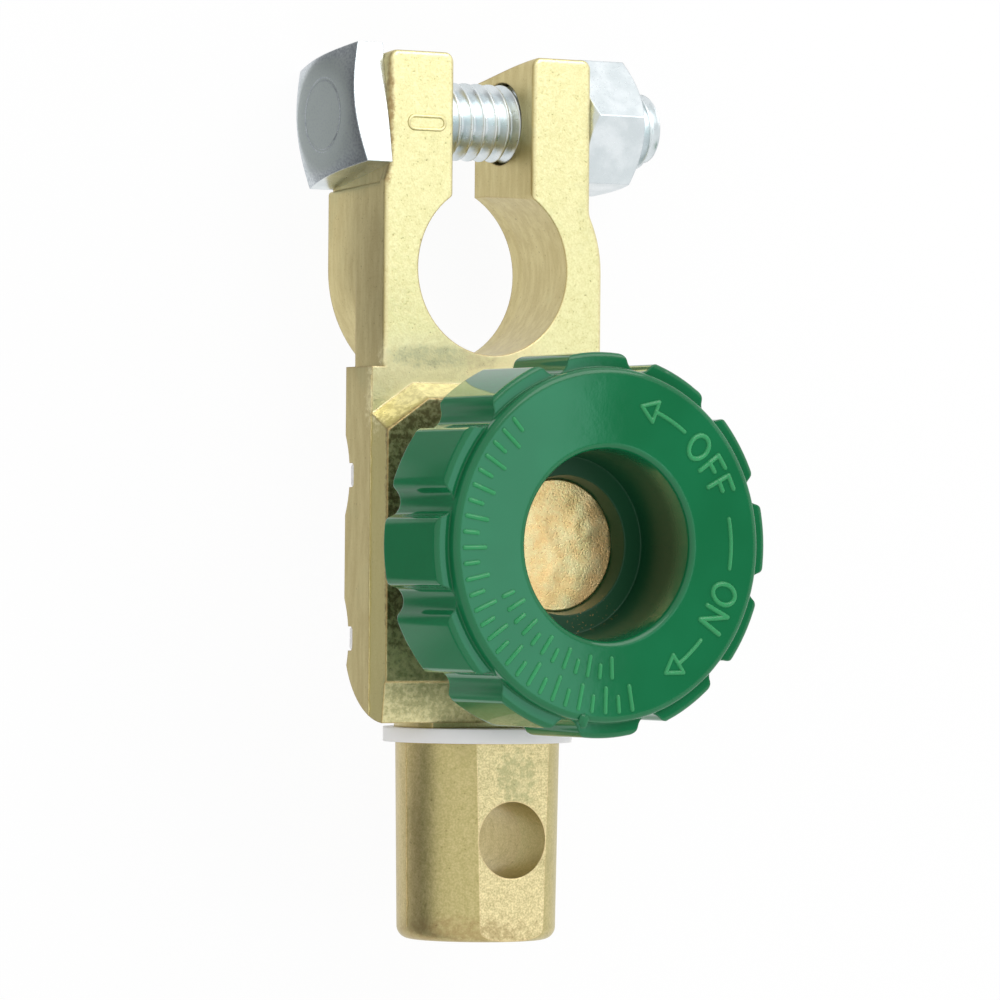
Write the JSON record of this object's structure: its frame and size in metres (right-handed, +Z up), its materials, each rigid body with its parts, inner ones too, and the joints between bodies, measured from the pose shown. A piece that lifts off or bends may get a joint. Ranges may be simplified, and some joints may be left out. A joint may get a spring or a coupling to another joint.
{
  "type": "battery terminal quick disconnect",
  "caption": "Brass clamp for a vehicle battery post, with a green hand knob that opens and closes the circuit to an insulated cable post.",
  "frame": {"origin": "on the axis of the tapered post bore, at the clamp's underside", "axes": "+Z up the battery post and the knob's axis, +Y towards the split ears, +X towards the clamp nut"},
  "size_m": [0.0405, 0.0895, 0.0366],
  "materials": {
    "cast_brass": "as cast",
    "turned_brass": "turned",
    "zinc_steel": "zinc plated",
    "spring_steel": "plain",
    "green_plastic": "glossy",
    "white_nylon": "moulded"
  },
  "bodies": {
    "clamp": {"clamp_casting": "cast_brass", "cable_post": "cast_brass", "insulating_washer": "white_nylon", "insulating_sleeve": "white_nylon", "insulating_cradle": "white_nylon", "rear_cover": "white_nylon"},
    "screw_lift": {"retaining_ring": "spring_steel"},
    "knob": {"knob": "green_plastic", "contact_screw": "turned_brass"},
    "nut": {"clamp_nut": "zinc_steel"},
    "bolt": {"clamp_bolt": "zinc_steel"}
  },
  "joints": [
    {"name": "screw_travel", "type": "slide", "parent": "clamp", "child": "screw_lift", "axis": [0, 0, 1], "range_m": [0, 0.00188]},
    {"name": "knob_turn", "type": "hinge", "parent": "screw_lift", "child": "knob", "pos_m": [0, -0.02765, 0.0344], "axis": [0, 0, 1], "range_deg": [0, 450]},
    {"name": "nut_turn", "type": "hinge", "parent": "clamp", "child": "nut", "pos_m": [0.0114, 0.0152, 0.0051], "axis": [1, 0, 0], "range_deg": [0, 720]},
    {"name": "bolt_travel", "type": "slide", "parent": "clamp", "child": "bolt", "axis": [-1, 0, 0], "range_m": [0, 0.00282]}
  ],
  "couplings": [
    {"joint": "screw_travel", "follows": "knob_turn", "m_per_rad": 0.00023873},
    {"joint": "bolt_travel", "follows": "nut_turn", "m_per_rad": 0.00022459}
  ]
}
